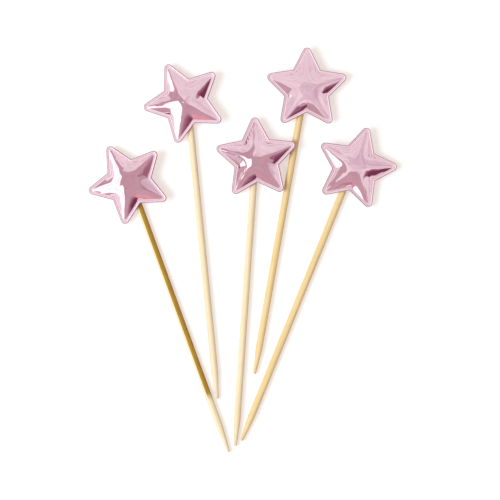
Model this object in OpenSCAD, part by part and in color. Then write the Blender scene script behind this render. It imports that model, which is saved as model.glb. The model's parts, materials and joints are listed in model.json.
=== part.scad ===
// Five padded-star cake toppers lying in a fan on a table.
// A star is two foil skins welded round a soft pad, and it is glued to a bamboo stick.
// Lengths are in millimetres and angles in degrees. The table is the plane z = 0.

/* [Star] */
// Distance from a star's centre to its rounded points
star_r = 20.8; // [18:0.1:24]
// Distance from a star's centre to the notches between its points
notch_r = 11.7; // [10:0.1:13]
// Radius that rounds each point of the outer edge
tip_round = 2.1; // [1.5:0.1:3]
// Radius that rounds each point of the padded dome
dome_tip_round = 0.8; // [0.5:0.05:1.2]
// Height of the dome above the welded seam
dome_h = 4.2; // [3:0.1:6]
// Thickness of the foil film
film_t = 0.4; // [0.3:0.05:0.6]

/* [Seam] */
// Width of the welded seam, from the outer edge to the foot of the dome
seam_w = 1.6; // [1.2:0.1:2]
// Width of the raised bead along the outer edge of the seam
bead_w = 0.8; // [0.5:0.05:1]
// Height of that bead above the seam
bead_h = 0.3; // [0.1:0.05:0.5]

/* [Stick] */
// Diameter of the bamboo stick
stick_d = 3.5; // [3:0.1:4.5]
// Whole length of the stick
stick_len = 152; // [120:1:180]
// Length of the tapered point
point_len = 13; // [8:0.5:20]
// Diameter of the blunt end of the point
point_d = 1.4; // [0.8:0.1:2]
// Diameter of the cut end behind the star
butt_d = 3.1; // [2.6:0.05:3.4]
// Length over which the stick narrows to that end
butt_len = 24; // [22:0.5:30]

/* [Glue] */
// Thickness of the glue between the stick and the back of the star
glue_t = 0.7; // [0.6:0.05:1.2]
// Width of the glue bead where it meets the star
glue_w = 8; // [6:0.1:9]
// Depth of the glue bead, measured down from the star
glue_depth = 2.6; // [2:0.1:3.4]
// Length of glue past the cut end of the stick
glue_past = 2; // [1:0.1:3]
// Bare margin between the glue and the notch where the stick comes out
glue_margin = 1.6; // [1:0.1:3]

/* [Clearances] */
// Gap between the padding and the skins
pad_gap = 0.1; // [0.05:0.01:0.2]
// Gap between the glue and the stick
bond_gap = 0.02; // [0.01:0.01:0.05]

/* [Hidden] */
$fn = 64;
STAR_POINTS = 5;
STEP = 360 / STAR_POINTS;

// Straight edges are cut into this many steps, and each rounded point into this many.
EDGE_STEPS = 3;
ARC_STEPS = 3;

// Contours of the dome from its foot, 1, towards its crown, 0, outside and inside the film.
OUTER_LEVELS = [1, 0.93, 0.8, 0.62, 0.42, 0.2];
INNER_LEVELS = [1, 0.85, 0.6, 0.3];

// The toppers of the fan, and a value for each of them in the lists that follow.
NAMES = ["upper_left", "left", "upper_right", "centre", "right"];
// The x and y of the stick's point on the table
STICK_POINTS = [[-16.3, -74.5], [-10.6, -101.2], [2.3, -62], [-7.4, -98.2], [-4.2, -95.5]];
// How far the star's centre lies to the right of the stick
STAR_SHIFTS = [-1.3, -0.5, 0.8, 0.8, 1.2];
// How far the stick runs on past the star's centre
STICK_OVERRUNS = [2.6, 8.2, 7.2, 7.8, 4];
// The stick's lean to the left of straight up
LEAN_ANGLES = [5.7, 20, -10, -4, -22.1];
// The star's turn on its stick
TURN_ANGLES = [20, 9.8, 9.6, 6.6, 5.8];
// How far the star's right side is tipped up about the stick
TIP_ANGLES = [5, 7, -2, 5, -5];

TOPPERS = [0 : len(NAMES) - 1];
PIECES = ["front_skin", "padding", "back_skin", "glue_bead", "stick"];
function node_name(t, piece) = str(NAMES[t], "_", piece);
function reach(t) = stick_len - STICK_OVERRUNS[t];

function turned(p, angle) =
    [p.x * cos(angle) - p.y * sin(angle), p.x * sin(angle) + p.y * cos(angle)];

// The straight edge between a notch and a rounded point: its slant from the point's own
// axis, its distance from the star's centre, and the radius where two edges would meet.
notch_at = notch_r * [sin(STEP / 2), cos(STEP / 2)];
to_round = [-notch_at.x, star_r - tip_round - notch_at.y];
edge_slant = atan2(notch_at.x, to_round.y) - asin(tip_round / norm(to_round));
edge_dist = notch_at.x * cos(edge_slant) + notch_at.y * sin(edge_slant);
sharp_r = edge_dist / sin(edge_slant);

// One arm of the star outline, moved in from the outer edge by inset, from its right notch
// over its rounded point to just short of its left notch.
function arm(inset, round) =
    let (
        share = 1 - inset / edge_dist,
        notch = notch_at * share,
        middle = [0, sharp_r * share - round / sin(edge_slant)],
        touch = middle + round * [cos(edge_slant), sin(edge_slant)],
        sweep = 180 - 2 * edge_slant
    )
    concat(
        [for (i = [0 : EDGE_STEPS - 1]) notch + (touch - notch) * i / EDGE_STEPS],
        [
            for (i = [0 : ARC_STEPS])
                let (angle = edge_slant + sweep * i / ARC_STEPS)
                middle + round * [cos(angle), sin(angle)]
        ],
        [
            for (i = [1 : EDGE_STEPS - 1])
                let (p = touch + (notch - touch) * i / EDGE_STEPS)
                [-p.x, p.y]
        ]
    );
function star_outline(inset, round) =
    [for (k = [0 : STAR_POINTS - 1]) for (p = arm(inset, round)) turned(p, k * STEP)];

// A contour of the dome: the star outline at its foot, rounder towards the crown.
function contour(outline, level) =
    let (
        radii = [for (p = outline) norm(p)],
        crown_r = (max(radii) + min(radii)) / 2
    )
    [
        for (p = outline)
            p / norm(p) * level * (crown_r + (norm(p) - crown_r) * level)
    ];
function swell(level) = 1 - level * level;
function at_height(outline, z) = [for (p = outline) [p.x, p.y, z]];
function dome_rings(inset, levels, foot_z, height) =
    let (foot = star_outline(inset, dome_tip_round))
    [for (level = levels) at_height(contour(foot, level), foot_z + height * swell(level))];
function reversed(list) = [for (i = [len(list) - 1 : -1 : 0]) list[i]];

// A closed skin through rings of equal length, from one end point to the other. Each of its
// four-sided cells is cut along one diagonal, or along the other where crossed is true.
module closed_skin(start, rings, finish, crossed = false) {
    n = len(rings[0]);
    count = len(rings);
    points = concat([start], [for (ring = rings) for (p = ring) p], [finish]);
    function at(ring, i) = 1 + ring * n + i % n;
    function cut(a, b, c, d) = crossed ? [[a, b, d], [b, c, d]] : [[a, b, c], [a, c, d]];
    function cell(ring, i) = cut(at(ring, i), at(ring + 1, i), at(ring + 1, i + 1), at(ring, i + 1));
    faces = concat(
        [for (i = [0 : n - 1]) [0, at(0, i), at(0, i + 1)]],
        [for (ring = [0 : count - 2]) for (i = [0 : n - 1]) each cell(ring, i)],
        [for (i = [0 : n - 1]) [at(count - 1, i), 1 + count * n, at(count - 1, i + 1)]]
    );
    polyhedron(points, faces);
}

// The middle of the table area that the fan covers, from its star points and stick points.
function on_table(t, p) = STICK_POINTS[t] + turned(p, LEAN_ANGLES[t]);
function star_tip(t, k) =
    on_table(t, [STAR_SHIFTS[t], reach(t)] + turned([0, star_r], TURN_ANGLES[t] + k * STEP));
extremes = concat(
    [for (t = TOPPERS) STICK_POINTS[t]],
    [for (t = TOPPERS) for (k = [0 : STAR_POINTS - 1]) star_tip(t, k)]
);
across = [for (p = extremes) p.x];
along = [for (p = extremes) p.y];
fan_centre = [max(across) + min(across), max(along) + min(along)] / 2;

// A topper's own axes: the stick's axis is +Y, starting at the stick's point.
module on_topper(t) {
    place = STICK_POINTS[t] - fan_centre;
    translate([place.x, place.y, stick_d / 2])
        rotate([0, 0, LEAN_ANGLES[t]])
            rotate([0, -TIP_ANGLES[t], 0])
                children();
}

// A star's own axes: its centre, on the back face, with +Z out of the front.
back_z = stick_d / 2 + glue_t;
module on_star(t) {
    on_topper(t)
        translate([STAR_SHIFTS[t], reach(t), back_z])
            rotate([0, 0, TURN_ANGLES[t]])
                children();
}

module front_skin(t) {
    seam_rings = [
        at_height(star_outline(0, tip_round), 0),
        at_height(star_outline(0, tip_round), film_t),
        at_height(star_outline(bead_w / 2, tip_round - bead_w / 2), film_t + bead_h),
        at_height(star_outline(bead_w, tip_round - bead_w), film_t),
    ];
    inside = dome_rings(seam_w + film_t, INNER_LEVELS, 0, dome_h);
    outside = dome_rings(seam_w, OUTER_LEVELS, film_t, dome_h);
    color([0.93, 0.72, 0.8])
        on_star(t)
            translate([0, 0, film_t])
                closed_skin(
                    [0, 0, dome_h],
                    concat(reversed(inside), seam_rings, outside),
                    [0, 0, film_t + dome_h]
                );
}

// The padding's edge is held in by twice the gap, because the dome rises gently from its foot. Its
// cells are cut like those inside the front skin, whose rings run down from the crown.
module padding(t) {
    rings = dome_rings(seam_w + film_t + 2 * pad_gap, INNER_LEVELS, pad_gap, dome_h - 2 * pad_gap);
    color([0.96, 0.94, 0.9])
        on_star(t)
            translate([0, 0, film_t])
                closed_skin([0, 0, pad_gap], rings, [0, 0, dome_h - pad_gap], crossed = true);
}

module back_skin(t) {
    color([0.88, 0.64, 0.73])
        on_star(t)
            linear_extrude(film_t)
                polygon(star_outline(0, tip_round));
}

// The stick's solid, grown all round by gap.
module stick_solid(gap) {
    rotate([-90, 0, 0])
        rotate_extrude()
            polygon([
                [0, -gap],
                [point_d / 2 + gap, -gap],
                [stick_d / 2 + gap, point_len],
                [stick_d / 2 + gap, stick_len - butt_len],
                [butt_d / 2 + gap, stick_len + gap],
                [0, stick_len + gap],
            ]);
}

module glue_bead(t) {
    half = glue_w / 2;
    curve_r = (half * half + glue_depth * glue_depth) / (2 * glue_depth);
    axis_z = back_z - glue_depth + curve_r;
    near_y = reach(t) - notch_r + glue_margin + half;
    far_y = stick_len + glue_past - half;
    room = 2 * curve_r;
    color([0.95, 0.93, 0.86])
        on_topper(t)
            difference() {
                intersection() {
                    union() {
                        translate([0, near_y, axis_z])
                            sphere(curve_r);
                        translate([0, near_y, axis_z])
                            rotate([-90, 0, 0])
                                cylinder(h = far_y - near_y, r = curve_r);
                        translate([0, far_y, axis_z])
                            sphere(curve_r);
                    }
                    translate([-room, near_y - room, back_z - room])
                        cube([2 * room, far_y - near_y + 2 * room, room]);
                }
                stick_solid(bond_gap);
            }
}

module stick(t) {
    color([0.93, 0.85, 0.66])
        on_topper(t)
            stick_solid(0);
}

for (t = TOPPERS) {
    front_skin(t);
    padding(t);
    back_skin(t);
    glue_bead(t);
    stick(t);
}
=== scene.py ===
"""Five padded foil stars on bamboo sticks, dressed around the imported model.

Shapes are worked out in millimetres on the axes of a star or of a stick, which are read from the
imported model, and are then placed in its frame of metres.
"""

import json
import math

import bmesh
import bpy
import numpy as np
from mathutils import Matrix, Vector
from mathutils.geometry import delaunay_2d_cdt

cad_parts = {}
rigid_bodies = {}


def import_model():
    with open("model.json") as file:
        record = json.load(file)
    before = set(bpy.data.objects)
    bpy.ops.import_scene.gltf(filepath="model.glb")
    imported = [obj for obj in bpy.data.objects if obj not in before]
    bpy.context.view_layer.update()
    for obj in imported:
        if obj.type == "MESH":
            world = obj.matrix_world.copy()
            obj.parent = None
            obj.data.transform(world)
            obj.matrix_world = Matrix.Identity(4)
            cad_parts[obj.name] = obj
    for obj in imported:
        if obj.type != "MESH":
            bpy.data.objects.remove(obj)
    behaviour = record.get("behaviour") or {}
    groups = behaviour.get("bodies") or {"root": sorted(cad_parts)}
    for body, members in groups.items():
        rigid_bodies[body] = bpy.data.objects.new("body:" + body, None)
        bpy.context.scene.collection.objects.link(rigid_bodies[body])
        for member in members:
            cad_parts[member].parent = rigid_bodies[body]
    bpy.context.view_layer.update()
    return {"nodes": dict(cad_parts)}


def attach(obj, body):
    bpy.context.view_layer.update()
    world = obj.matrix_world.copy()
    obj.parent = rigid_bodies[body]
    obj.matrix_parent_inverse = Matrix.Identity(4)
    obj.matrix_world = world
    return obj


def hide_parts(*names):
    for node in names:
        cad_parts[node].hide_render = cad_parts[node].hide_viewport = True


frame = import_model()

MM = 0.001
TOPPERS = ("upper_left", "left", "upper_right", "centre", "right")

# Star outline
STAR_POINTS = 5
HALF_STEP = math.pi / STAR_POINTS
TIP_ROUND = 2.1
NOTCH_ROUND = 0.5

# Seam
SEAM_W = 1.6
BEAD_W = 0.8
BEAD_H = 0.3
WELD_DIP = 0.08  # between the bead and the dome
EDGE_INSET = 0.06  # rounding of the cut edge
EDGE_RISE = 0.1

# Dome
DOME_H = 4.2
DOME_TIP_ROUND = 0.9
DOME_NOTCH_ROUND = 1.2
ROOF_SHARE = 0.75  # how much of the height is a roof with ridges
RIDGE_ROUND = 1.5
PAD_GAP = 0.1  # between foil and wadding
FILM_GAP = 0.02  # between the two films

# Slow waves of the film
RIPPLES = ((3, 5, 0.006), (6, 13, 0.03))  # shortest and longest wavelength, and height
RIPPLE_COUNT = 6  # of each kind
RIPPLE_GROWTH = 3  # with the height of the dome

# Puckers along an edge
PUCKER_H = 0.2
PUCKER_WAVE = 2.1
PUCKER_PEAK = 0.8  # how far from the seam they are highest
PUCKER_REACH = 0.42  # to each side of the edge's middle, in edges

# Back film: the line that the weld presses into it, and its rounded edge
PRESS_DEPTH = 0.14
PRESS_W = 0.28
BACK_EDGE_W = 0.2
BACK_EDGE_RISE = 0.1

# Stick: the point, and the thinner end behind the star. Each end is rounded by what the radius loses
# at a distance from it.
POINT_LEN = 13.0
POINT_D = 1.4
POINT_ROUND = ((0.0, 0.25), (0.12, 0.08), (0.4, 0.0))
POINT_SINK = 0.02  # of the middle of its end
BUTT_LEN = 24.0
BUTT_D = 3.1
BUTT_ROUND = ((0.0, 0.12), (0.15, 0.0))

# Facets of the whittled point
POINT_SIDES = 7
FACET_SHARE = 0.75  # 0 for a round point, 1 for flat facets
FACET_REACH = 1.3  # in lengths of the point
BROWN_REACH = 0.5  # of the browner wood, in lengths of the point

# Bamboo
FIBRE_WAVES = (2, 3, 5, 9, 13)  # round the stick
FIBRE_LEAST = 0.3  # least strength of a wave
FIBRE_FALL = 0.3  # of its height with the number of waves
FIBRE_H = 0.012
FIBRE_ROOM = 0.03  # taken off the radius for the fibres
SWAY_H = 0.012  # of the slow waves along the stick
SWAY_WAVE = 37
NODE_H = 0.07
NODE_W = 0.35
NODE_TURN = 2  # where round the stick a node is highest, in radians
GRAIN_STRETCH = 30  # along the stick
GRAIN_SHIFT = 40

# Rind of the cane, a strip along the stick
RIND_MIDDLE = math.radians(5)
RIND_HALF = math.radians(100)  # from its middle to each side
RIND_SIDE_FADE = 0.2
RIND_SLANT = 1.5  # of its start
RIND_START_FADE = 0.8

# Glue
GLUE_W = 8.0
GLUE_DEPTH = 2.6
GLUE_PAST = 2.0  # beyond the stick's end
GLUE_MARGIN = 1.6  # from the notches of the star
GLUE_LEAST_W = 0.15
GLUE_LEAST_T = 0.02
GLUE_END_DROP = 0.03  # of the middle of each end below the back film
GRIP_GAP = 0.02  # round the stick
GLUE_LUMPS = ((1.9, 0.05), (0.9, 0.04))  # length for one radian of a wave, and share of the width
LUMP_DEPTH = 0.3  # share of a lump that shows in the depth

# How finely the shapes are divided
NOTCH_STEPS = 4
EDGE_STEPS = 18
TIP_STEPS = 6
DOME_RINGS = 44
DOME_CROWDING = 1.5  # over 1 for closer rings at the foot
INNER_SKIP = 4  # every fourth ring for the inside of the foil
PAD_SKIP = 2
BEAD_STEPS = 8
WELD_STEPS = np.array([0.25, 0.5, 0.75])
BACK_INSETS = np.array([2.4, 2.0, 1.7, 1.5, 1.3, 1.1, 0.9, 0.6, 0.3, 0.08, 0.0])
BACK_LEVELS = (0.15, 0.35, 0.55, 0.72, 0.87)
BACK_SKIP = 3
STICK_SIDES = 40
STICK_STEP = 4.0
POINT_STEPS = 12
BUTT_STEPS = 8
NODE_STEPS = (-0.9, -0.5, -0.2, 0.1, 0.4, 0.8)
GLUE_HELD_STEPS = 34
GLUE_PAST_STEPS = 12
GLUE_END_GAPS = (0.05, 0.03)  # of the first and the last ring from the ends
GLUE_DROP_GAPS = (0.01, 0.04)  # of the last ring on the stick and the next one from the stick's end
GLUE_ACROSS = 21
GRIP_EDGES = np.array([-1.06, -0.97, 0.97, 1.06])  # more points across, in radii of the stick

# Sums
CORNER_DIGITS = 3
TIP_WEIGHT = 6  # how much more the tips count than the notches for a star's turn
PHASES = 6  # range of the random phases
TINY = 1e-9
FILM_TRIES = 600
FILM_REST = 1e-18  # at which the film's height is found

# What differs from topper to topper: the seed of its small irregularities, the edges whose seam is
# puckered, the colour of the bamboo, and where the golden rind or a node shows on it
LOOKS = {
    "upper_left": dict(seed=11, puckers=(), bamboo="pale"),
    "left": dict(seed=12, puckers=(), bamboo="pale", rind_from=28.6),
    "upper_right": dict(seed=13, puckers=(), bamboo="gold"),
    "centre": dict(seed=14, puckers=(1,), bamboo="pale", node_at=20.7),
    "right": dict(seed=15, puckers=(), bamboo="gold"),
}
STICK_SEEDS = 100  # added to the seed
GLUE_SEEDS = 200


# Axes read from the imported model


def corners(node):
    """Each corner of a CAD node once, in millimetres."""
    points = np.array([v.co for v in frame["nodes"][node].data.vertices]) / MM
    return np.unique(points.round(CORNER_DIGITS), axis=0)


def unit(v):
    return v / np.linalg.norm(v)


def axes(origin, y, z):
    """The matrix from millimetres on these axes to the frame's metres."""
    turn = Matrix(np.column_stack([np.cross(y, z), y, z]).tolist()).to_4x4()
    return Matrix.Translation(Vector(origin) * MM) @ turn @ Matrix.Scale(MM, 4)


def read_star(name):
    """A star's size and axes: the middle of its back face, a point of the star up +Y, and +Z out of
    the front."""
    points = corners(f"{name}_back_skin")
    middle = points.mean(axis=0)
    normal = np.linalg.svd(points - middle, full_matrices=False)[2][2]
    normal = normal * np.sign(normal[2])
    heights = (points - middle) @ normal
    flat = points - middle - np.outer(heights, normal)
    radii = np.linalg.norm(flat, axis=1)
    up = unit(np.array([0, 1, 0]) - normal[1] * normal)
    right = np.cross(up, normal)
    angle = np.arctan2(flat @ right, flat @ up)
    turn = np.angle(np.sum(radii**TIP_WEIGHT * np.exp(1j * STAR_POINTS * angle))) / STAR_POINTS
    tip = math.cos(turn) * up + math.sin(turn) * right
    film_t = np.ptp(heights)
    return dict(
        star_r=radii.max(),
        notch_r=radii.min(),
        film_t=film_t,
        normal=normal,
        matrix=axes(middle - normal * film_t / 2, tip, normal),
    )


def read_stick(name, normal):
    """A stick's size and axes: the end of its point, +Y towards the star, and +Z out of the star's
    front."""
    points = corners(f"{name}_stick")
    middle = points.mean(axis=0)
    along = np.linalg.svd(points - middle, full_matrices=False)[2][0]
    along = along * np.sign(along[1])
    steps = (points - middle) @ along
    out = unit(normal - (normal @ along) * along)
    radius = np.linalg.norm(points - middle - np.outer(steps, along), axis=1).max()
    return dict(
        length=np.ptp(steps), radius=radius, matrix=axes(middle + steps.min() * along, along, out)
    )


# Star outlines and the dome


def arc(middle, radius, start, end, steps):
    angle = np.linspace(start, end, steps + 1)
    return middle + radius * np.column_stack([np.cos(angle), np.sin(angle)])


def star_outline(star, inset, tip_round, notch_round):
    """Points round the star, counterclockwise, moved in from its edge by inset."""
    notch = star["notch_r"] * np.array([math.sin(HALF_STEP), math.cos(HALF_STEP)])
    to_round = star["star_r"] - TIP_ROUND - notch[1]
    slant = math.atan2(notch[0], to_round) - math.asin(TIP_ROUND / math.hypot(notch[0], to_round))
    edge_dist = notch @ [math.cos(slant), math.sin(slant)]
    share = 1 - inset / edge_dist
    tip_middle = np.array([0, (edge_dist * share - tip_round) / math.sin(slant)])
    notch_middle = notch * share + notch_round / math.sin(slant + HALF_STEP) * unit(notch)
    notch_arc = arc(notch_middle, -notch_round, math.pi / 2 - HALF_STEP, slant, NOTCH_STEPS)
    tip_arc = arc(tip_middle, tip_round, slant, math.pi / 2, TIP_STEPS)
    edge = np.linspace(notch_arc[-1], tip_arc[0], EDGE_STEPS + 1)[1:-1]
    half = np.vstack([notch_arc, edge, tip_arc])
    arm = np.vstack([half, half[-2:0:-1] * [-1, 1]])
    turns = np.arange(STAR_POINTS) * 2 * HALF_STEP
    turned = [arm @ [[math.cos(t), math.sin(t)], [-math.sin(t), math.cos(t)]] for t in turns]
    return np.vstack(turned)


def seam_outline(star, inset):
    """The outline of the flat films at a distance in from their edge."""
    return star_outline(star, inset, max(TIP_ROUND - inset, DOME_TIP_ROUND), NOTCH_ROUND)


def contour(outline, level):
    """A contour inside an outline, which it follows where level is 1, and rounder towards level 0."""
    radii = np.linalg.norm(outline, axis=1, keepdims=True)
    crown_r = (radii.max() + radii.min()) / 2
    return outline / radii * level * (crown_r + (radii - crown_r) * level)


def at_height(ring, z):
    return np.column_stack([ring, np.broadcast_to(z, len(ring))])


def ring_faces(ring_count, n):
    """Quads between rings of n points that follow each other, after one leading point."""
    ring, i = np.meshgrid(np.arange(ring_count - 1), np.arange(n), indexing="ij")
    j = (i + 1) % n
    low, high = 1 + ring * n, 1 + (ring + 1) * n
    return np.stack([low + i, low + j, high + j, high + i], axis=-1).reshape(-1, 4)


def balance(pull, load, scale):
    """The heights at which the pull of the film equals its load, by conjugate gradients."""
    height = np.zeros(len(load))
    rest = load.copy()
    ready = rest / scale
    step = ready.copy()
    size = rest @ ready
    for _ in range(FILM_TRIES):
        pulled = pull(step)
        stride = size / (step @ pulled)
        height += stride * step
        rest -= stride * pulled
        ready = rest / scale
        size, before = rest @ ready, size
        if size < FILM_REST:
            break
        step = ready + size / before * step
    return height


def membrane(rings, hold):
    """Height of a film that is fixed at the first ring and pressed out evenly, at a point in the
    middle and then at each ring's points. Where hold is over 0, each point is also held back by its
    own height times hold, so that the film levels off at 1 / hold far from the first ring."""
    n = len(rings[0])
    points = np.vstack([rings[-1].mean(axis=0, keepdims=True), *rings])
    quads = ring_faces(len(rings), n)
    last = 1 + (len(rings) - 1) * n + np.arange(n)
    fan = np.column_stack([last, np.roll(last, -1), np.zeros(n, int)])
    triangles = np.vstack([quads[:, [0, 1, 2]], quads[:, [0, 2, 3]], fan])

    starts, ends, weights = [], [], []
    area = np.zeros(len(points))
    for k in range(3):
        corner, a, b = (triangles[:, (k + step) % 3] for step in range(3))
        to_a, to_b = points[a] - points[corner], points[b] - points[corner]
        twice_area = np.abs(to_a[:, 0] * to_b[:, 1] - to_a[:, 1] * to_b[:, 0])
        cotangent = (to_a * to_b).sum(axis=1) / twice_area / 2
        starts += [a, b]
        ends += [b, a]
        weights += [cotangent, cotangent]
        area += np.bincount(corner, twice_area / 6, len(points))
    starts, ends, weights = map(np.concatenate, (starts, ends, weights))
    free = np.ones(len(points))
    free[1 : n + 1] = 0

    def pull(height):
        change = weights * (height[starts] - height[ends])
        return free * (np.bincount(starts, change, len(points)) + hold * area * height)

    scale = np.maximum(np.bincount(starts, weights, len(points)) + hold * area, TINY)
    return balance(pull, area * free, scale)


def along_outline(outline):
    """How far round the outline each point lies, and the length all the way round."""
    steps = np.linalg.norm(np.roll(outline, -1, axis=0) - outline, axis=1)
    return np.concatenate([[0], np.cumsum(steps)[:-1]]), steps.sum()


def ripples(plan, seed):
    """Slow waves over the film, a few hundredths of a millimetre high."""
    rng = np.random.default_rng(seed)
    total = np.zeros(len(plan))
    for shortest, longest, height in RIPPLES:
        for _ in range(RIPPLE_COUNT):
            heading = rng.uniform(0, 2 * math.pi)
            wavelength = rng.uniform(shortest, longest)
            phase = rng.uniform(0, 2 * math.pi)
            run = plan @ [math.cos(heading), math.sin(heading)]
            total += height * np.sin(2 * math.pi * run / wavelength + phase)
    return total


def pucker_waves(foot, look):
    """Waves along the puckered edges of the dome's foot, and 0 elsewhere."""
    rng = np.random.default_rng(look["seed"])
    run, whole = along_outline(foot)
    waves = PUCKER_H * np.sin(2 * math.pi * run / PUCKER_WAVE + rng.uniform(0, PHASES))
    edges = run / whole * 2 * STAR_POINTS
    reach = [np.exp(-(((edges - edge - 0.5) / PUCKER_REACH) ** 4)) for edge in look["puckers"]]
    return waves * sum(reach)


def dome(star, look):
    """Rings of plan points from the foot of the dome to its crown, the film's height on each, and the
    height of the crown."""
    foot = star_outline(star, SEAM_W, DOME_TIP_ROUND, DOME_NOTCH_ROUND)
    levels = 1 - (np.arange(DOME_RINGS) / DOME_RINGS) ** DOME_CROWDING
    rings = [contour(foot, level) for level in levels]
    bulge = membrane(rings, 0)
    held = membrane(rings, 1 / RIDGE_ROUND**2) / RIDGE_ROUND**2
    roof = -np.log(np.maximum(1 - held, TINY))
    roof = 1 - (1 - roof / roof.max()) ** 2
    height = DOME_H * (ROOF_SHARE * roof + (1 - ROOF_SHARE) * bulge / bulge.max())
    crown = height[0]
    height = height[1:].reshape(len(rings), -1)
    waves = pucker_waves(foot, look)
    for k, ring in enumerate(rings):
        share = height[k] / DOME_H
        height[k] += ripples(ring, look["seed"]) * np.minimum(1, RIPPLE_GROWTH * share)
        up_dome = np.linalg.norm(ring - foot, axis=1) / PUCKER_PEAK
        height[k] += waves * up_dome * np.exp(1 - up_dome)
    return rings, height, crown


# Pieces


def new_object(name, points, faces, material):
    """An object of these points and faces, which is not in the scene yet."""
    mesh = bpy.data.meshes.new(name)
    mesh.from_pydata(points, [], faces)
    mesh.materials.append(material)
    return bpy.data.objects.new(name, mesh)


def closed_skin(name, start, rings, finish, matrix, material):
    """A mesh piece through rings of equal length, closed at each end by a fan to a point."""
    n = len(rings[0])
    points = np.vstack([[start], *rings, [finish]])
    last = len(points) - 1
    i = np.arange(n)
    j = (i + 1) % n
    first_fan = np.column_stack([np.zeros(n, int), 1 + j, 1 + i])
    last_fan = np.column_stack([np.full(n, last), last - n + i, last - n + j])
    faces = [*ring_faces(len(rings), n).tolist(), *first_fan.tolist(), *last_fan.tolist()]
    piece = new_object(name, [matrix @ Vector(p) for p in points.tolist()], faces, material)
    shell = bmesh.new()
    shell.from_mesh(piece.data)
    bmesh.ops.recalc_face_normals(shell, faces=shell.faces)
    shell.to_mesh(piece.data)
    shell.free()
    piece.data.polygons.foreach_set("use_smooth", np.ones(len(faces), bool))
    bpy.context.scene.collection.objects.link(piece)
    return piece


def note(piece, name, values, domain="POINT"):
    """Keeps a number, or three, for each point or face of a piece, for its material to read."""
    values = np.asarray(values, float)
    kind = "FLOAT" if values.ndim == 1 else "FLOAT_VECTOR"
    attribute = piece.data.attributes.new(name, kind, domain)
    attribute.data.foreach_set("value" if values.ndim == 1 else "vector", values.ravel())


def fit(piece, name, part):
    """The piece rides on its topper and stands for that CAD node."""
    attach(piece, f"{name}_topper")
    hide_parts(f"{name}_{part}")


def front_skin(name, star, shape, material):
    """The foil front: a rounded bead along the edge, the weld, and the dome that the wadding fills."""
    rings, heights, crown = shape
    film_t = star["film_t"]
    low, top = film_t + FILM_GAP, 2 * film_t
    shrink = 1 - film_t / DOME_H
    inside = [
        at_height(ring * shrink, low + height * shrink)
        for ring, height in zip(rings[::-INNER_SKIP], heights[::-INNER_SKIP])
    ]
    outside = [at_height(ring, top + height) for ring, height in zip(rings, heights)]
    angles = np.linspace(0, math.pi, BEAD_STEPS + 1)
    seam = [
        (SEAM_W, low),
        (EDGE_INSET, low),
        (0, film_t + EDGE_RISE),
        (0, top - EDGE_RISE),
        *zip(BEAD_W / 2 * (1 - np.cos(angles)), top + BEAD_H * np.sin(angles)),
        *zip(BEAD_W + (SEAM_W - BEAD_W) * WELD_STEPS, top - WELD_DIP * np.sin(math.pi * WELD_STEPS)),
    ]
    flat = [at_height(seam_outline(star, inset), z) for inset, z in seam]
    piece = closed_skin(
        f"{name}_foil_front",
        [0, 0, low + crown * shrink],
        [*inside, *flat, *outside],
        [0, 0, top + crown],
        star["matrix"],
        material,
    )
    n = len(rings[0])
    hidden = np.full(1 + len(inside) * n, 2 * SEAM_W)
    on_seam = np.repeat([inset for inset, _ in seam], n)
    up_dome = [SEAM_W + np.linalg.norm(ring - rings[0], axis=1) for ring in rings]
    note(piece, "inset", np.concatenate([hidden, on_seam, *up_dome, [2 * SEAM_W]]))
    fit(piece, name, "front_skin")
    return piece


def padding(name, star, shape, material):
    """The wadding under the foil, a little smaller than the inside of the dome."""
    rings, heights, crown = shape
    shrink = 1 - (star["film_t"] + 2 * PAD_GAP) / DOME_H
    low = star["film_t"] + PAD_GAP
    layers = [
        at_height(ring * shrink, low + height * shrink)
        for ring, height in zip(rings[::PAD_SKIP], heights[::PAD_SKIP])
    ]
    piece = closed_skin(
        f"{name}_wadding",
        [0, 0, low],
        layers,
        [0, 0, low + crown * shrink],
        star["matrix"],
        material,
    )
    fit(piece, name, "padding")


def back_skin(name, star, material):
    """The flat back film, with the weld pressed into it and a rounded edge."""
    film_t = star["film_t"]
    from_weld = BACK_INSETS - (SEAM_W + BEAD_W) / 2
    pressed = PRESS_DEPTH * np.exp(-((from_weld / PRESS_W) ** 2))
    rise = BACK_EDGE_RISE * np.maximum(1 - BACK_INSETS / BACK_EDGE_W, 0)
    edge = [seam_outline(star, inset) for inset in BACK_INSETS]
    inner = [contour(edge[0], level) for level in BACK_LEVELS]
    bottom = [at_height(ring, 0) for ring in inner]
    bottom += [at_height(ring, z) for ring, z in zip(edge, pressed + rise)]
    top = [*reversed(edge[::BACK_SKIP]), *reversed(inner[1:])]
    piece = closed_skin(
        f"{name}_foil_back",
        [0, 0, 0],
        [*bottom, *(at_height(ring, film_t) for ring in top)],
        [0, 0, film_t],
        star["matrix"],
        material,
    )
    fit(piece, name, "back_skin")


def stick_steps(length, node_at):
    """Where along a stick its rings lie."""
    shank_end = length - BUTT_LEN
    shank_steps = int((shank_end - POINT_LEN) / STICK_STEP)
    at = [step for step, _ in POINT_ROUND]
    at += [*np.linspace(1, POINT_LEN, POINT_STEPS), POINT_LEN + 1]
    at += [*np.linspace(POINT_LEN + 2, shank_end, shank_steps)]
    at += [*np.linspace(shank_end, length - BUTT_ROUND[-1][0], BUTT_STEPS)[1:], length]
    if node_at:
        at += [node_at + step for step in NODE_STEPS]
    return np.unique(at)


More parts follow.
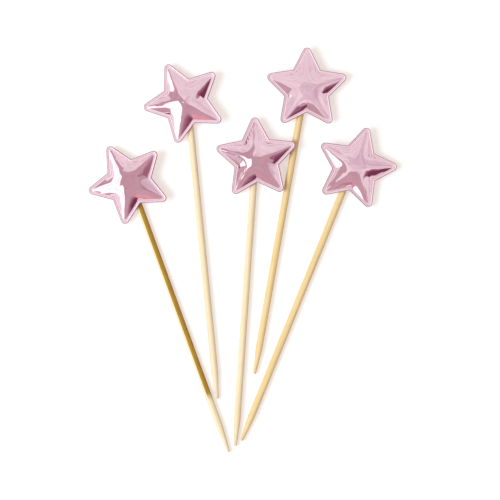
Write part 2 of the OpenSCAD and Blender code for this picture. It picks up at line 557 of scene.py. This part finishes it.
def stick(name, size, look, material):
    """A round bamboo stick with raised fibres, a whittled point and a cut end."""
    rng = np.random.default_rng(look["seed"] + STICK_SEEDS)
    length, radius = size["length"], size["radius"]
    node_at = look.get("node_at")
    at = stick_steps(length, node_at)
    profile = np.interp(
        at, [0, POINT_LEN, length - BUTT_LEN, length], [POINT_D / 2, radius, radius, BUTT_D / 2]
    )
    profile -= np.interp(at, *zip(*POINT_ROUND)) + np.interp(length - at, *zip(*BUTT_ROUND))

    around = np.arange(STICK_SIDES) / STICK_SIDES * 2 * math.pi
    fibre = np.zeros(STICK_SIDES)
    for waves in FIBRE_WAVES:
        strength = rng.uniform(FIBRE_LEAST, 1) / waves**FIBRE_FALL
        fibre += FIBRE_H * strength * np.sin(waves * around + rng.uniform(0, PHASES))
    side = 2 * math.pi / POINT_SIDES
    facet = math.cos(side / 2) / np.cos((around + rng.uniform(0, side)) % side - side / 2)
    sway_phase, _ = PHASES * rng.uniform(-1, 1, 2)

    y = at[:, None]
    whittled = FACET_SHARE * np.clip(FACET_REACH - y / POINT_LEN, 0, 1)
    sway = SWAY_H * np.sin(2 * math.pi * y / SWAY_WAVE + sway_phase + around)
    radii = profile[:, None] * (1 + whittled * (facet - 1)) - FIBRE_ROOM + fibre + sway
    if node_at:
        swelling = NODE_H * np.exp(-(((y - node_at) / NODE_W) ** 2))
        radii += swelling * (1 + np.cos(around - NODE_TURN)) / 2
    along = np.broadcast_to(y, radii.shape)
    rings = np.stack([radii * np.cos(around), along, radii * np.sin(around)], axis=-1)

    start, finish = [0, POINT_SINK, 0], [0, length, 0]
    piece = closed_skin(f"{name}_bamboo_stick", start, rings, finish, size["matrix"], material)
    points = np.vstack([[start], *rings, [finish]])
    note(piece, "grain", points * [1, 1 / GRAIN_STRETCH, 1] + rng.uniform(0, GRAIN_SHIFT, 3))
    note(piece, "rind", rind_share(points, look))
    note(piece, "tip", np.clip(1 - points[:, 1] / (BROWN_REACH * POINT_LEN), 0, 1))
    fit(piece, name, "stick")


def fade(past, width):
    """From 0 to 1 across a border of this width."""
    return np.clip(past / width + 0.5, 0, 1)


def rind_share(points, look):
    """Where the golden outer rind is left on the stick: a strip along its right side."""
    if "rind_from" not in look:
        return np.zeros(len(points))
    turn = np.arctan2(points[:, 2], points[:, 0])
    start = look["rind_from"] + RIND_SLANT * np.sin(turn)
    strip = fade(RIND_HALF - np.abs(turn - RIND_MIDDLE), RIND_SIDE_FADE)
    return strip * fade(points[:, 1] - start, RIND_START_FADE)


def glue_bead(name, star, size, look, material):
    """Hot glue under the star: a lumpy half-round bead that holds the upper half of the stick."""
    rng = np.random.default_rng(look["seed"] + GLUE_SEEDS)
    phases = rng.uniform(0, PHASES, len(GLUE_LUMPS))
    centre = size["matrix"].inverted() @ star["matrix"].translation
    back_z = centre.z - FILM_GAP
    half_w = GLUE_W / 2
    curve_r = (half_w**2 + GLUE_DEPTH**2) / (2 * GLUE_DEPTH)
    axis_z = centre.z - GLUE_DEPTH + curve_r
    grip = size["radius"] + GRIP_GAP
    across = np.unique([*np.linspace(-1, 1, GLUE_ACROSS), *(GRIP_EDGES * grip / half_w)])
    near = centre.y - star["notch_r"] + GLUE_MARGIN
    stick_end = size["length"]
    far = stick_end + GLUE_PAST
    held = np.linspace(near + GLUE_END_GAPS[0], stick_end + GLUE_DROP_GAPS[0], GLUE_HELD_STEPS)
    past = np.linspace(stick_end + GLUE_DROP_GAPS[1], far - GLUE_END_GAPS[1], GLUE_PAST_STEPS)
    rings = []
    for y in [*held, *past]:
        into_end = max(near + half_w - y, y - far + half_w, 0)
        lump = 0
        for (pace, share), phase in zip(GLUE_LUMPS, phases):
            lump += share * (math.sin(y / pace + phase) - 1)
        width = math.sqrt(max(half_w**2 - into_end**2, 0)) * (1 + lump)
        x = across * max(width, GLUE_LEAST_W)
        depth = np.sqrt(np.maximum(curve_r**2 - into_end**2 - x**2, 0))
        low = axis_z - depth * (1 + LUMP_DEPTH * lump)
        if y <= held[-1]:
            low = np.maximum(low, np.sqrt(np.maximum(grip**2 - x**2, 0)))
        low = np.minimum(low, back_z - GLUE_LEAST_T)
        under = np.column_stack([x, np.full(len(x), y), low])
        over = np.column_stack([x[::-1], np.full(len(x), y), np.full(len(x), back_z)])
        rings.append(np.vstack([under, over]))
    piece = closed_skin(
        f"{name}_hot_glue",
        [0, near, back_z - GLUE_END_DROP],
        rings,
        [0, far, back_z - GLUE_END_DROP],
        size["matrix"],
        material,
    )
    fit(piece, name, "glue_bead")


# Materials

# The range that a noise mostly keeps to
NOISE_LOW = 0.3
NOISE_HIGH = 0.7

# Sockets of a mix of two colours
MIX_SHARE, MIX_FIRST, MIX_SECOND = 0, 6, 7
MIX_RESULT = 2


class Nodes:
    """A node tree, with short ways to add and join nodes."""

    def __init__(self, tree):
        self.tree = tree

    def put(self, socket, value):
        if isinstance(value, bpy.types.NodeSocket):
            self.tree.links.new(value, socket)
        else:
            socket.default_value = value

    def node(self, kind, **settings):
        """A new node. Each setting is one of its sockets, with _ for a space, or a property of it."""
        made = self.tree.nodes.new(kind)
        for key, value in settings.items():
            socket = made.inputs.get(key.replace("_", " "))
            if socket is None:
                setattr(made, key, value)
            else:
                self.put(socket, value)
        return made

    def attribute(self, name, output="Fac"):
        return self.node("ShaderNodeAttribute", attribute_name=name).outputs[output]

    def object_place(self):
        return self.node("ShaderNodeTexCoord").outputs["Object"]

    def noise(self, place, scale, detail=3.0, roughness=0.5, distortion=0.0):
        made = self.node(
            "ShaderNodeTexNoise",
            Vector=place,
            Scale=scale,
            Detail=detail,
            Roughness=roughness,
            Distortion=distortion,
        )
        return made.outputs["Fac"]

    def ramp(self, value, *stops):
        """Colours, or grey values, between places along value."""
        made = self.node("ShaderNodeValToRGB", Fac=value)
        elements = made.color_ramp.elements
        while len(elements) < len(stops):
            elements.new(0.5)
        for element, (place, colour) in zip(elements, stops):
            element.position = place
            grey = isinstance(colour, (int, float))
            element.color = (colour, colour, colour, 1) if grey else (*colour, 1)
        return made.outputs["Color"]

    def spread(self, noise, low, high):
        """From one colour, or grey value, to another over the range of a noise."""
        return self.ramp(noise, (NOISE_LOW, low), (NOISE_HIGH, high))

    def mix(self, share, first, second):
        made = self.node("ShaderNodeMix", data_type="RGBA")
        for place, value in ((MIX_SHARE, share), (MIX_FIRST, first), (MIX_SECOND, second)):
            self.put(made.inputs[place], (*value, 1) if isinstance(value, tuple) else value)
        return made.outputs[MIX_RESULT]

    def math(self, operation, first, second):
        made = self.node("ShaderNodeMath", operation=operation)
        self.put(made.inputs[0], first)
        self.put(made.inputs[1], second)
        return made.outputs[0]


class Shader(Nodes):
    """The node tree of a new material."""

    def __init__(self, name):
        self.material = bpy.data.materials.new(name)
        self.material.use_nodes = True
        super().__init__(self.material.node_tree)
        self.surface = self.tree.nodes["Principled BSDF"]

    def set(self, **values):
        for key, value in values.items():
            self.put(self.surface.inputs[key.replace("_", " ")], value)

    def bump(self, height, strength, distance):
        made = self.node("ShaderNodeBump", Height=height, Strength=strength, Distance=distance)
        self.set(Normal=made.outputs["Normal"])

    def finish(self, *shaders):
        """Gives the material the sum of these shaders in place of its plain surface."""
        self.tree.nodes.remove(self.surface)
        total = shaders[0].outputs[0]
        for shader in shaders[1:]:
            add = self.node("ShaderNodeAddShader")
            self.put(add.inputs[0], total)
            self.put(add.inputs[1], shader.outputs[0])
            total = add.outputs[0]
        self.put(self.tree.nodes["Material Output"].inputs["Surface"], total)


# Front film across the seam, from its cut edge at 0 to the foot of the dome at 0.5. Its pink carries
# painted shade at the cut edge and in the weld groove, and painted highlights on the bead and at the
# foot.
WELD_COLOURS_AND_PAINTED_LIGHT = (
    (0.0, (0.40, 0.20, 0.27)),
    (0.10, (0.48, 0.26, 0.34)),
    (0.15, (0.98, 0.84, 0.89)),
    (0.25, (0.98, 0.83, 0.88)),
    (0.34, (0.75, 0.46, 0.56)),
    (0.43, (0.93, 0.71, 0.78)),
)
WELD_METALLIC = 0.3
WELD_ROUGHNESS = (0.28, 0.28, 0.28)
FOIL_FROM = ((0.47, 0.0), (0.60, 1.0))  # where the mirror foil begins
FOIL_COLOURS = ((0.775, 0.545, 0.635), (0.825, 0.6, 0.68))
FOIL_ROUGHNESS = (0.045, 0.085)


def front_film():
    """Pink mirror foil, with a paler and less even shine along the weld, whose colour holds painted
    shade at the cut edge and in the weld groove and painted highlights on the bead and at the dome's
    foot.
    """
    s = Shader("front_film")
    place = s.object_place()
    inset = s.math("DIVIDE", s.attribute("inset"), 2 * SEAM_W)
    dome_share = s.ramp(inset, *FOIL_FROM)
    # The weld's colour, with painted shade and painted highlights across the seam
    weld = s.ramp(inset, *WELD_COLOURS_AND_PAINTED_LIGHT)
    foil = s.spread(s.noise(place, scale=160), *FOIL_COLOURS)
    shine = s.spread(s.noise(place, scale=2500, detail=2), *FOIL_ROUGHNESS)
    s.set(Base_Color=s.mix(dome_share, weld, foil))
    s.set(Metallic=s.ramp(dome_share, (0.0, WELD_METALLIC), (1.0, 1.0)))
    s.set(Roughness=s.mix(dome_share, WELD_ROUGHNESS, shine))
    s.bump(s.noise(place, scale=420, detail=1), strength=0.12, distance=0.02 * MM)
    return s.material


def back_film():
    """The duller back of the same film."""
    s = Shader("back_film")
    place = s.object_place()
    s.set(Base_Color=s.spread(s.noise(place, scale=220), (0.78, 0.42, 0.50), (0.84, 0.50, 0.58)))
    s.set(Metallic=0.4)
    s.set(Roughness=s.spread(s.noise(place, scale=1800), 0.32, 0.44))
    s.bump(s.noise(place, scale=900, detail=4), strength=0.25, distance=0.03 * MM)
    return s.material


def wadding():
    """White polyester fibre."""
    s = Shader("wadding")
    tuft = s.noise(s.object_place(), scale=900, detail=6, roughness=0.7)
    s.set(Base_Color=s.spread(tuft, (0.82, 0.81, 0.79), (0.94, 0.93, 0.92)))
    s.set(Roughness=0.95, Sheen_Weight=0.4)
    s.bump(tuft, strength=0.6, distance=0.2 * MM)
    return s.material


def hot_glue():
    """Milky glue that lets some light through."""
    s = Shader("hot_glue")
    place = s.object_place()
    s.set(Base_Color=s.spread(s.noise(place, scale=500), (0.80, 0.77, 0.66), (0.90, 0.88, 0.80)))
    s.set(Roughness=s.spread(s.noise(place, scale=1500), 0.2, 0.38))
    s.set(Transmission_Weight=0.35, IOR=1.49)
    s.bump(s.noise(place, scale=700, detail=2), strength=0.2, distance=0.08 * MM)
    return s.material


# The dark fibres, the usual tone and the lightest tone of each bamboo, and the rind's two tones
BAMBOO = {
    "pale": ((0.76, 0.51, 0.27), (0.93, 0.73, 0.46), (0.97, 0.83, 0.58)),
    "gold": ((0.68, 0.40, 0.15), (0.88, 0.62, 0.28), (0.94, 0.73, 0.38)),
}
RIND_DARK = (0.36, 0.18, 0.012)
RIND_LIGHT = (0.50, 0.29, 0.022)


def bamboo(tone):
    """Bamboo with fibres along it, a browner point, and in places the golden rind of the cane."""
    s = Shader(f"bamboo_{tone}")
    dark, middle, light = BAMBOO[tone]
    grain = s.attribute("grain", "Vector")
    streak = s.noise(grain, scale=0.9, detail=4, roughness=0.6)
    fibre = s.noise(grain, scale=5, detail=3, roughness=0.65)
    wood = s.ramp(streak, (0.3, middle), (0.6, light))
    wood = s.mix(s.ramp(fibre, (0.28, 0.55), (0.48, 0.0)), wood, dark)
    wood = s.mix(s.math("MULTIPLY", s.attribute("tip"), 0.45), wood, dark)
    rind = s.ramp(fibre, (0.35, RIND_DARK), (0.6, RIND_LIGHT))
    s.set(Base_Color=s.mix(s.attribute("rind"), wood, rind))
    s.set(Roughness=s.spread(fibre, 0.62, 0.45))
    s.bump(fibre, strength=0.35, distance=0.05 * MM)
    return s.material


def dress():
    """Makes all pieces, and returns the foil front of each topper."""
    film, back, wad, glue = front_film(), back_film(), wadding(), hot_glue()
    wood = {tone: bamboo(tone) for tone in BAMBOO}
    fronts = {}
    for name in TOPPERS:
        look = LOOKS[name]
        star = read_star(name)
        size = read_stick(name, star["normal"])
        shape = dome(star, look)
        fronts[name] = front_skin(name, star, shape, film)
        padding(name, star, shape, wad)
        back_skin(name, star, back)
        glue_bead(name, star, size, look, glue)
        stick(name, size, look, wood[look["bamboo"]])
    return fronts


# Stage: camera, floor and lights, in metres

PHOTO_WIDTH = 0.25
VIEW_CENTRE = (0.003614, -0.00003)
CAMERA_HEIGHT = 1.2
SHARP_HEIGHT = 0.004
SENSOR_WIDTH = 36
CLIP = (0.05, 50)

FLOOR_SIZE = 6.0
FLOOR_PAINT = (0.51, 0.60, 0.65)
FLOOR_GLOW = (0.59, 0.50, 0.46)
AMBIENT = (0.56, 0.50, 0.45)
WHITE_SKY = (1.0, 1.0, 1.0)

WINDOW_AT = (-0.58, -0.10, 0.72)
WINDOW_SIZE = (0.5, 0.46)
WINDOW_POWER = 6.4
WINDOW_COLOUR = (0.88, 1.0, 1.08)


def camera():
    """Looks straight down on the fan."""
    data = bpy.data.cameras.new("camera")
    data.sensor_width = SENSOR_WIDTH
    data.lens = SENSOR_WIDTH * (CAMERA_HEIGHT - SHARP_HEIGHT) / PHOTO_WIDTH
    data.clip_start, data.clip_end = CLIP
    made = bpy.data.objects.new("camera", data)
    made.location = (*VIEW_CENTRE, CAMERA_HEIGHT)
    bpy.context.scene.collection.objects.link(made)
    bpy.context.scene.camera = made


def seen_rays(s):
    """1 for rays of the camera, of mirrors and of glass, and 0 for rays that only carry light."""
    rays = s.node("ShaderNodeLightPath").outputs
    bounced = s.math("MAXIMUM", rays["Is Glossy Ray"], rays["Is Transmission Ray"])
    return s.math("MAXIMUM", rays["Is Camera Ray"], bounced)


def floor():
    """A plain white floor that keeps the shadows."""
    s = Shader("floor")
    paint = s.node("ShaderNodeBsdfDiffuse", Color=(*FLOOR_PAINT, 1))
    glow = s.node("ShaderNodeEmission", Color=(*FLOOR_GLOW, 1), Strength=seen_rays(s))
    s.finish(paint, glow)
    half = FLOOR_SIZE / 2
    points = [(-half, -half, 0), (half, -half, 0), (half, half, 0), (-half, half, 0)]
    made = new_object("floor", points, [(0, 1, 2, 3)], s.material)
    bpy.context.scene.collection.objects.link(made)


def world():
    """White to all that sees it, and a soft fill to everything else."""
    made = bpy.data.worlds.new("surroundings")
    bpy.context.scene.world = made
    made.use_nodes = True
    s = Nodes(made.node_tree)
    s.put(s.tree.nodes["Background"].inputs["Color"], s.mix(seen_rays(s), AMBIENT, WHITE_SKY))


def window():
    """Soft daylight from the left, which no mirror shows."""
    data = bpy.data.lights.new("window", "AREA")
    data.shape = "RECTANGLE"
    data.size, data.size_y = WINDOW_SIZE
    data.energy = WINDOW_POWER
    data.color = WINDOW_COLOUR
    made = bpy.data.objects.new("window", data)
    made.location = WINDOW_AT
    made.rotation_mode = "QUATERNION"
    made.rotation_quaternion = (-Vector(WINDOW_AT)).to_track_quat("-Z", "Y")
    made.visible_camera = False
    made.visible_glossy = False
    bpy.context.scene.collection.objects.link(made)


# What the pieces reflect

# The room
STUDIO_RADIUS = 30.0
STUDIO_DARK = (0.56, 0.40, 0.43)
STUDIO_LIGHT = (0.78, 0.60, 0.64)
STUDIO_MOTTLE = 2.5  # scale of the change between the two

# The lids over the stars
LID_HEIGHT = 0.5  # of the lowest
LID_APART = 0.002
LID_REACH = 30  # to the rim, in heights
LID_SIDES = 64
LID_PASSES = 32  # how many see-through faces a ray may pass
LID_MOTTLE = 4  # scale of the uneven light of a field
LID_LEAST = 0.45  # range of that light
LID_MOST = 1.25
TRIANGLES_INSIDE = 1  # how a lid is divided
SAME_POINT = 1e-6

# A dark wall to the lower right of the fan, which two of the stars show
WALLED = ("upper_right", "centre")
WALL_FOOT = ((0.02, -0.34), (0.30, -0.34), (0.42, -0.045))
WALL_TOP = 0.22
WALL_LOW = 0.008  # lowest height that shows
WALL_SOLID = 0.45  # share of the height
WALL_STEPS = 10  # in which the rest fades out
WALL_COLOUR = np.array([0.24, 0.06, 0.13])

# The tones of the fields on a lid: what light a field adds, or what share of the room it lets through
PALE = dict(light=np.array([0.39, 0.57, 0.52]))
WHITE = dict(light=np.array([1.3, 1.6, 1.5]))
LILAC = dict(light=np.array([0.20, 0.34, 0.36]))
WARM = dict(light=np.array([0.35, 0.03, 0.0]))
BLUSH = dict(light=np.array([0.17, 0.02, 0.0]))
PLUM = dict(shade=np.array([0.62, 0.42, 0.52]))
HAZE = dict(shade=np.array([0.79, 0.65, 0.72]))
VEIL = dict(shade=np.array([0.88, 0.82, 0.85]))


def field(tone, *around):
    """One field of a lid: its tone and its corners."""
    return tone, around


def deepening(tone, far, *steps):
    """Fields that share their far corners and lie one in another, so that the tone deepens."""
    return [field(tone, *near, *far) for near in steps]


# The far corners of the fields that darken the lower right
LOWER_RIGHT = ((12, -5), (12, -24), (3, -24))

# The fields of each star's lid, the later ones over the earlier. Corners are in heights of the lid to
# the right of the star and towards the top of the fan.
STAR_FIELDS = {
    "upper_left": (
        field(
            PALE,
            (-10, 6.9), (-0.25, 0.15), (0.26, -0.24), (0.55, -0.42), (0.72, -0.3), (0.74, 0.12),
            (1.15, 0.22), (2, -0.1), (30, -1.5), (30, 30), (-30, 30),
        ),
        field(
            WHITE,
            (-1.45, 0.42), (-1.4, -0.55), (-0.97, -0.38), (-0.97, 0.12), (-0.75, 0.2), (-0.56, 0.22),
            (-0.42, 0.05), (-0.36, -0.2), (-0.28, -0.6), (-0.7, -0.95), (-1.1, -1.15), (-2, -2.2),
            (-30, -30), (-30, 8), (-2, 0.66),
        ),
        field(WARM, (-0.6, -1.9), (0.4, -1.7), (3, -9), (-3, -9)),
        *deepening(
            HAZE,
            ((2.2, -0.15), (9, -0.6), (9, -4), (2.4, -1.2)),
            ((1.2, -0.6), (0.76, -0.35), (0.78, 0.08), (1.2, 0.15)),
            ((0.9, -0.45), (0.93, 0.06)),
            ((1.15, -0.55), (1.2, 0.02)),
            ((1.35, -0.65), (1.4, -0.03)),
            ((1.55, -0.75), (1.6, -0.07)),
        ),
        *deepening(
            HAZE,
            LOWER_RIGHT,
            ((0.75, -2.2), (0.5, -0.75), (0.9, -0.65), (3, -1.4)),
            ((0.95, -2.2), (0.75, -1.05), (1.1, -0.85), (3, -1.5)),
            ((1.15, -2.2), (1.05, -1.45), (1.4, -1.1)),
            ((1.45, -1.9), (1.75, -1.35)),
        ),
    ),
    "left": (
        field(
            PALE,
            (-5.2, 8.7), (-0.75, 0.85), (-0.4, 0.75), (-0.2, 0.95), (0.1, 0.7), (0.3, 0.62),
            (0.7, 1.05), (1.1, 1.5), (30, 33), (-20, 33),
        ),
        field(
            WHITE,
            (-0.55, -0.1), (-0.65, 0.2), (-0.95, 0.42), (-2.2, 1.2), (-30, 15), (-30, -22),
            (-4, -9), (-1.7, -2.7), (-0.8, -0.8),
        ),
        field(LILAC, (0.5, 0.28), (0.9, 0.3), (3, 0.6), (20, 1.8), (20, 21), (1, 1.35), (0.55, 0.75)),
        field(WARM, (-0.6, -1.9), (0.4, -1.7), (3, -9), (-3, -9)),
        *deepening(
            HAZE,
            ((2.5, -0.9), (9, -2), (9, -0.8)),
            ((1.7, -0.25), (0.8, 0.03), (0.35, 0.08), (0.5, -0.5), (1, -0.6)),
            ((1.7, -0.27), (0.85, -0.05), (0.9, -0.57)),
        ),
        *deepening(
            HAZE,
            LOWER_RIGHT,
            ((0.75, -2), (0.5, -0.85), (0.9, -0.8), (3, -1.8)),
            ((0.85, -2), (0.75, -1), (1.1, -0.95), (3, -1.8)),
            ((1, -2), (1, -1.3), (1.25, -1.1)),
            ((1.15, -1.5), (1.35, -1.25)),
            ((1.3, -1.8), (1.5, -1.4)),
        ),
    ),
    "upper_right": (
        field(
            PALE,
            (-30, -16), (-1.1, -0.5), (-0.75, -0.8), (-0.5, -0.75), (-0.25, -1.2), (0.05, -1.9),
            (0.35, -1.2), (0.55, -0.75), (0.9, -0.75), (1.6, -0.9), (30, -12), (30, 30), (-30, 30),
        ),
        field(WHITE, (-3, 0.1), (-3, -0.5), (-5, -0.7), (-5, 0.1)),
        field(
            VEIL,
            (-0.12, 0.38), (-0.1, -0.25), (-0.22, -0.7), (0.1, -1), (0.6, -0.8), (1.1, -0.55),
            (1.3, 0), (0.6, 0.42), (0.2, 0.28),
        ),
        field(PLUM, (0.4, -1), (0.8, -1), (9, -12), (4, -12)),
    ),
    "centre": (
        field(
            PALE,
            (-30, 8.5), (-1.3, 0.45), (-0.9, 0.75), (-0.75, 1), (-0.5, 0.8), (-0.28, 0.5),
            (-0.22, 0.15), (0.5, 0.1), (1.5, 0.3), (30, 6), (30, 30), (-30, 30),
        ),
        field(
            PALE,
            (-0.75, -0.35), (-0.95, -0.15), (-2.2, -0.1), (-3.2, 0.05), (-3.2, 0.4), (-1.3, 0.3),
            (-0.75, 0),
        ),
        field(
            WHITE,
            (-0.4, -0.03), (-0.42, -0.28), (-0.75, -0.3), (-1.08, -0.42), (-1.08, -0.13), (-0.7, -0.08),
        ),
        field(WHITE, (-1.5, -0.22), (-1.5, -0.6), (-30, -12.4), (-30, -4.2)),
        field(LILAC, (-1.35, -0.66), (-1.4, -1.1), (-3, -2.5), (-8, -6.5), (-8, -3.7), (-1.9, -0.9)),
        field(LILAC, (0.7, -0.05), (3, -0.4), (30, -4), (30, 6), (1.5, 0.3), (0.8, 0.2)),
        field(BLUSH, (-1, -1.9), (-0.1, -1.8), (1, -9), (-5, -9)),
        *deepening(
            PLUM,
            ((9, -6), (6, -9)),
            ((0.5, -0.9), (0.45, -0.5), (0.9, -0.45)),
            ((0.85, -0.95), (1.2, -0.9)),
        ),
        field(HAZE, (0.3, -1.35), (0.8, -1.2), (5, -5), (8, -20), (1, -20), (0.3, -1.9)),
        field(HAZE, (0.45, -1.65), (0.85, -1.5), (5, -6), (8, -20), (2, -20), (0.5, -2.1)),
    ),
    "right": (
        field(
            PALE,
            (-30, -8), (-2.2, -0.55), (-1.95, 0.75), (-1.5, 0.95), (-0.72, 0.5), (-0.75, 0.1),
            (-0.5, -0.2), (-0.25, -0.22), (0.17, -0.2), (0.45, -0.42), (0.7, -0.8), (0.9, -1.1),
            (2.3, -1.6), (30, -15), (30, 30), (-30, 30),
        ),
        field(
            WHITE,
            (-0.75, -0.3), (-0.6, -0.7), (-1.7, -1.6), (-7, -5.2), (-30, -20), (-30, -8),
            (-2.5, -0.65),
        ),
        field(WHITE, (-0.85, -1.25), (-1.6, -1.7), (-8, -8), (-6, -10), (-1.15, -2.4), (-0.8, -1.8)),
        field(
            VEIL,
            (0.1, 1.6), (-0.05, 0.3), (-0.3, -0.05), (0.1, -0.15), (0.5, -0.25), (0.9, 0.1),
            (1.4, 0.7), (3, 2), (2, 4),
        ),
        field(BLUSH, (-0.8, -1.7), (0.3, -1.6), (2, -9), (-4, -9)),
        field(HAZE, (-0.5, -2.4), (0.6, -2.2), (5, -20), (-3, -20)),
        *deepening(
            HAZE,
            ((10, -22), (20, -11)),
            ((1.3, -0.7), (0.9, -0.4), (0.85, -0.8), (1, -1.4), (1.6, -3)),
            ((1.4, -0.75), (1.02, -0.5), (0.95, -0.9), (1.1, -1.5), (1.7, -3)),
            ((1.5, -0.8), (1.14, -0.6), (1.05, -1), (1.2, -1.6), (1.8, -3)),
            ((1.6, -0.86), (1.26, -0.7), (1.15, -1.1), (1.3, -1.7), (1.9, -3)),
            ((1.5, -0.85), (1.4, -1.4), (1.6, -2.2)),
        ),
    ),
}


def only_reflected(made, pieces):
    """Puts an object in the scene that only the reflections in some pieces show."""
    bpy.context.scene.collection.objects.link(made)
    receivers = bpy.data.collections.new(f"{made.name}_receivers")
    for piece in pieces:
        receivers.objects.link(piece)
    made.light_linking.receiver_collection = receivers
    made.visible_camera = False
    made.visible_diffuse = False
    made.visible_transmission = False
    made.visible_shadow = False
    made.visible_volume_scatter = False


def room_glow(s):
    """The uneven mauve of the room, as it looks from the middle of the object that shows it."""
    heading = s.node("ShaderNodeVectorMath", operation="NORMALIZE")
    s.put(heading.inputs[0], s.object_place())
    mottle = s.noise(heading.outputs[0], scale=STUDIO_MOTTLE, detail=2)
    return s.mix(mottle, STUDIO_DARK, STUDIO_LIGHT)


def studio(pieces):
    """The room that some pieces reflect, as a shell around the floor."""
    s = Shader("studio")
    s.material.cycles.emission_sampling = "NONE"
    s.finish(s.node("ShaderNodeEmission", Color=room_glow(s)))
    made = new_object("studio", [], [], s.material)
    shell = bmesh.new()
    bmesh.ops.create_uvsphere(shell, u_segments=64, v_segments=32, radius=STUDIO_RADIUS)
    shell.to_mesh(made.data)
    shell.free()
    only_reflected(made, pieces)


def lid_material():
    """What a lid adds to the reflection below it: the room, toned by the lid's shade, and the lid's
    own uneven light."""
    s = Shader("lid")
    s.material.cycles.emission_sampling = "NONE"
    place = s.node("ShaderNodeNewGeometry").outputs["Position"]
    mottle = s.noise(place, scale=LID_MOTTLE, distortion=1)
    level = s.node(
        "ShaderNodeMapRange",
        Value=mottle,
        From_Min=NOISE_LOW,
        From_Max=NOISE_HIGH,
        To_Min=LID_LEAST,
        To_Max=LID_MOST,
    )
    light = s.node("ShaderNodeVectorMath", operation="SCALE", Scale=level.outputs[0])
    s.put(light.inputs[0], s.attribute("light", "Vector"))
    total = s.node("ShaderNodeVectorMath", operation="MULTIPLY_ADD")
    terms = (room_glow(s), s.attribute("shade", "Vector"), light.outputs[0])
    for socket, term in zip(total.inputs, terms):
        s.put(socket, term)
    glow = s.node("ShaderNodeEmission", Color=total.outputs[0])
    s.finish(glow, s.node("ShaderNodeBsdfTransparent"))
    return s.material


def wall_fields(middle):
    """The wall as fields of the lid over a star's middle: each step hides a like share of the room."""
    foot = np.array(WALL_FOOT) - middle[:2]
    fields = []
    for k in range(WALL_STEPS):
        height = WALL_TOP * (1 - (1 - WALL_SOLID) * (k + 0.5) / WALL_STEPS) - middle[2]
        left = 1 - 1 / (WALL_STEPS - k)
        tone = dict(shade=left, light=(1 - left) * WALL_COLOUR)
        fields.append(field(tone, *(foot / height), *(foot[::-1] / WALL_LOW)))
    return fields


def counterclockwise(around):
    x, y = np.transpose(around)
    turn = x @ np.roll(y, -1) - y @ np.roll(x, -1)
    return around if turn > 0 else around[::-1]


def lid_faces(rim, fields):
    """The area inside a rim, divided along the fields' edges: points, faces, and for each face the
    share of the room that it lets through and the light that it adds."""
    outlines = [rim, *(counterclockwise(np.array(around, float)) for _, around in fields)]
    ends = np.cumsum([len(outline) for outline in outlines])
    loops = [list(range(end - len(outline), end)) for outline, end in zip(outlines, ends)]
    flat = [Vector(point) for point in np.vstack(outlines).tolist()]
    divided = delaunay_2d_cdt(flat, [], loops, TRIANGLES_INSIDE, SAME_POINT)
    points, _, faces, _, _, within = divided
    kept, shades, lights = [], [], []
    for face, inside in zip(faces, within):
        if 0 not in inside:
            continue
        shade, light = np.ones(3), np.zeros(3)
        for tone in (fields[k - 1][0] for k in sorted(inside) if k > 0):
            shade = shade * tone.get("shade", 1)
            light = light * tone.get("shade", 1) + tone.get("light", 0)
        kept.append(list(face))
        shades.append(shade)
        lights.append(light)
    return points, kept, shades, lights


def lid(name, front, rank, material):
    """The room as one star's foil shows it: a wide lid over the star, with lighter and darker fields,
    and a skirt from the lid's rim down past the horizon."""
    middle = np.array(read_star(name)["matrix"].translation)
    fields = [*STAR_FIELDS[name], *(wall_fields(middle) if name in WALLED else ())]
    turn = np.arange(LID_SIDES) * 2 * math.pi / LID_SIDES
    rim = LID_REACH * np.column_stack([np.cos(turn), np.sin(turn)])
    points, faces, shades, lights = lid_faces(rim, fields)
    height = LID_HEIGHT + LID_APART * rank
    spots = [(*(point * height), height) for point in points]
    for z in (height, -height):
        spots += [(*corner, z) for corner in (rim * height).tolist()]
    i = np.arange(LID_SIDES)
    upper, lower = len(points) + i, len(points) + LID_SIDES + i
    skirt = np.column_stack([upper, np.roll(upper, -1), np.roll(lower, -1), lower])
    made = new_object(f"{name}_lid", spots, [*faces, *skirt.tolist()], material)
    made.location = middle
    note(made, "shade", [*shades, *np.ones((LID_SIDES, 3))], "FACE")
    note(made, "light", [*lights, *np.zeros((LID_SIDES, 3))], "FACE")
    only_reflected(made, [front])


def stage(fronts):
    """Sets up the photo round the pieces. Foil fronts reflect their lids, and all else the room."""
    camera()
    floor()
    world()
    studio([made for made in bpy.context.scene.objects if made not in fronts.values()])
    window()
    material = lid_material()
    for rank, (name, front) in enumerate(fronts.items()):
        lid(name, front, rank, material)
    bpy.context.scene.view_settings.view_transform = "Standard"
    bpy.context.scene.cycles.transparent_max_bounces = LID_PASSES


stage(dress())
